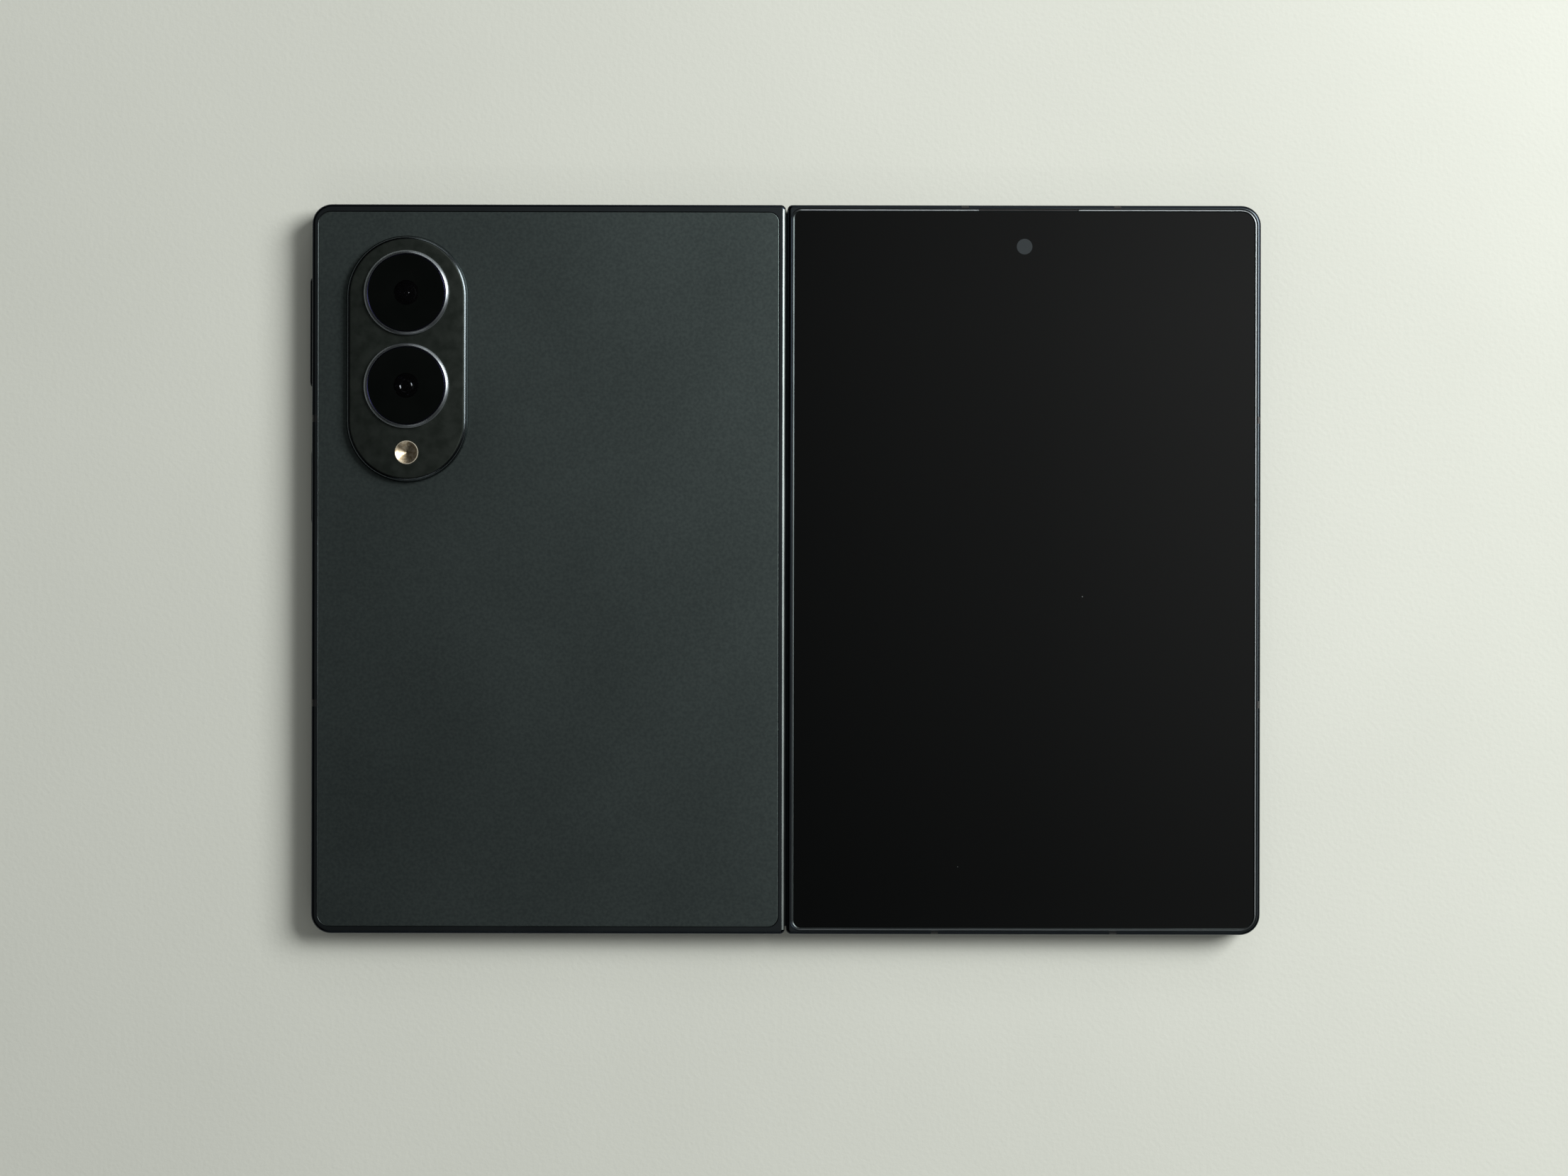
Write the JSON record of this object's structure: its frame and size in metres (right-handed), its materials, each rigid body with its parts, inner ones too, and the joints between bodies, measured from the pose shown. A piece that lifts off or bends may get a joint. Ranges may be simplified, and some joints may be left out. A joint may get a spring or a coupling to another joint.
{
  "type": "foldable smartphone",
  "caption": "Wide book-style folding phone, shown open with its back up: camera half with pill-shaped island, spine with geared hinge, and half with cover display.",
  "frame": {"origin": "on the resting surface under the middle of the hinge line, with the phone open and its inner display down", "axes": "+X from the camera half to the half with the cover display, +Y along the hinge to the top edge, +Z out of the back"},
  "size_m": [0.1617, 0.1238, 0.0069],
  "materials": {
    "frame_metal": "satin anodised",
    "spine_metal": "satin anodised",
    "break_plastic": "matte",
    "rear_glass": "fine matte frosted",
    "island_metal": "satin anodised",
    "ring_metal": "polished",
    "lens_glass": "polished",
    "flash_lens": "frosted",
    "flash_chip": "gloss",
    "camera_housing": "matte",
    "circuit_board": "solder mask",
    "shield_steel": "stamped",
    "cell_wrap": "foil wrap",
    "copper": "bare",
    "black_plastic": "matte",
    "hinge_steel": "fine ground",
    "idler_brass": "bare",
    "display_film": "gloss",
    "display_panel": "gloss",
    "cover_glass": "polished",
    "soft_bezel": "matte",
    "sensor_glass": "satin"
  },
  "bodies": {
    "main_half": {"main_frame": "frame_metal", "main_antenna_breaks": "break_plastic", "rear_cover": "rear_glass", "camera_island": "island_metal", "upper_lens_ring": "ring_metal", "lower_lens_ring": "ring_metal", "upper_lens_window": "lens_glass", "lower_lens_window": "lens_glass", "flash_window": "flash_lens", "flash_led": "flash_chip", "upper_camera_module": "camera_housing", "lower_camera_module": "camera_housing", "mainboard": "circuit_board", "shield_cans": "shield_steel", "main_battery": "cell_wrap", "charging_coil": "copper", "usb_shell": "shield_steel", "usb_tongue": "black_plastic", "sub_board": "circuit_board", "sim_reader": "shield_steel", "bottom_speaker": "black_plastic", "haptic_motor": "shield_steel", "key_switch_strip": "copper", "inner_display_main": "display_film", "main_display_plate": "shield_steel", "inner_bezel_main": "soft_bezel", "main_hinge_arms": "hinge_steel", "main_gear_shafts": "hinge_steel", "main_screws": "hinge_steel"},
    "hinge_spine": {"spine_cover": "spine_metal", "spine_end_caps": "spine_metal", "hinge_brackets": "hinge_steel", "bracket_screws": "hinge_steel", "fold_display_main": "display_film", "fold_display_cover": "display_film", "hinge_flex": "copper"},
    "main_idler": {"main_idler_gears": "idler_brass"},
    "cover_idler": {"cover_idler_gears": "idler_brass"},
    "cover_half": {"cover_frame": "frame_metal", "cover_antenna_breaks": "break_plastic", "cover_glass": "cover_glass", "cover_panel": "display_panel", "front_camera": "camera_housing", "inner_camera": "camera_housing", "earpiece_grille": "black_plastic", "earpiece_receiver": "black_plastic", "cover_battery": "cell_wrap", "cover_board": "circuit_board", "inner_display_cover": "display_film", "cover_display_plate": "shield_steel", "inner_bezel_cover": "soft_bezel", "cover_hinge_arms": "hinge_steel", "cover_gear_shafts": "hinge_steel", "cover_screws": "hinge_steel"},
    "volume_button": {"volume_key": "frame_metal"},
    "power_button": {"power_key": "frame_metal", "fingerprint_sensor": "sensor_glass"},
    "card_tray": {"sim_tray": "frame_metal"},
    "upper_focus": {"upper_lens_barrel": "camera_housing"},
    "lower_focus": {"lower_lens_barrel": "camera_housing"}
  },
  "joints": [
    {"name": "main_fold", "type": "hinge", "parent": "main_half", "child": "hinge_spine", "pos_m": [-0.00145, 0, 0.0014], "axis": [0, 1, 0], "range_deg": [0, 90], "deforming": ["fold_display_main", "hinge_flex"]},
    {"name": "cover_fold", "type": "hinge", "parent": "hinge_spine", "child": "cover_half", "pos_m": [0.00145, 0, 0.0014], "axis": [0, 1, 0], "range_deg": [0, 90], "deforming": ["fold_display_cover"]},
    {"name": "main_idler_turn", "type": "hinge", "parent": "hinge_spine", "child": "main_idler", "pos_m": [-0.0007, 0, 0.00258], "axis": [0, 1, 0], "range_deg": [0, 90]},
    {"name": "cover_idler_turn", "type": "hinge", "parent": "hinge_spine", "child": "cover_idler", "pos_m": [0.0007, 0, 0.00258], "axis": [0, 1, 0], "range_deg": [-90, 0]},
    {"name": "volume_press", "type": "slide", "parent": "main_half", "child": "volume_button", "axis": [1, 0, 0], "range_m": [0, 0.00025], "stiffness_N_per_m": 1500},
    {"name": "power_press", "type": "slide", "parent": "main_half", "child": "power_button", "axis": [1, 0, 0], "range_m": [0, 0.00025], "stiffness_N_per_m": 1500},
    {"name": "tray_slide", "type": "slide", "parent": "main_half", "child": "card_tray", "axis": [0, -1, 0], "range_m": [0, 0.018]},
    {"name": "upper_focus_slide", "type": "slide", "parent": "main_half", "child": "upper_focus", "axis": [0, 0, 1], "range_m": [0, 0.00025], "stiffness_N_per_m": 60},
    {"name": "lower_focus_slide", "type": "slide", "parent": "main_half", "child": "lower_focus", "axis": [0, 0, 1], "range_m": [0, 0.00025], "stiffness_N_per_m": 60}
  ],
  "couplings": [
    {"joint": "cover_fold", "follows": "main_fold", "ratio": 1},
    {"joint": "main_idler_turn", "follows": "main_fold", "ratio": 1},
    {"joint": "cover_idler_turn", "follows": "main_fold", "ratio": -1}
  ]
}
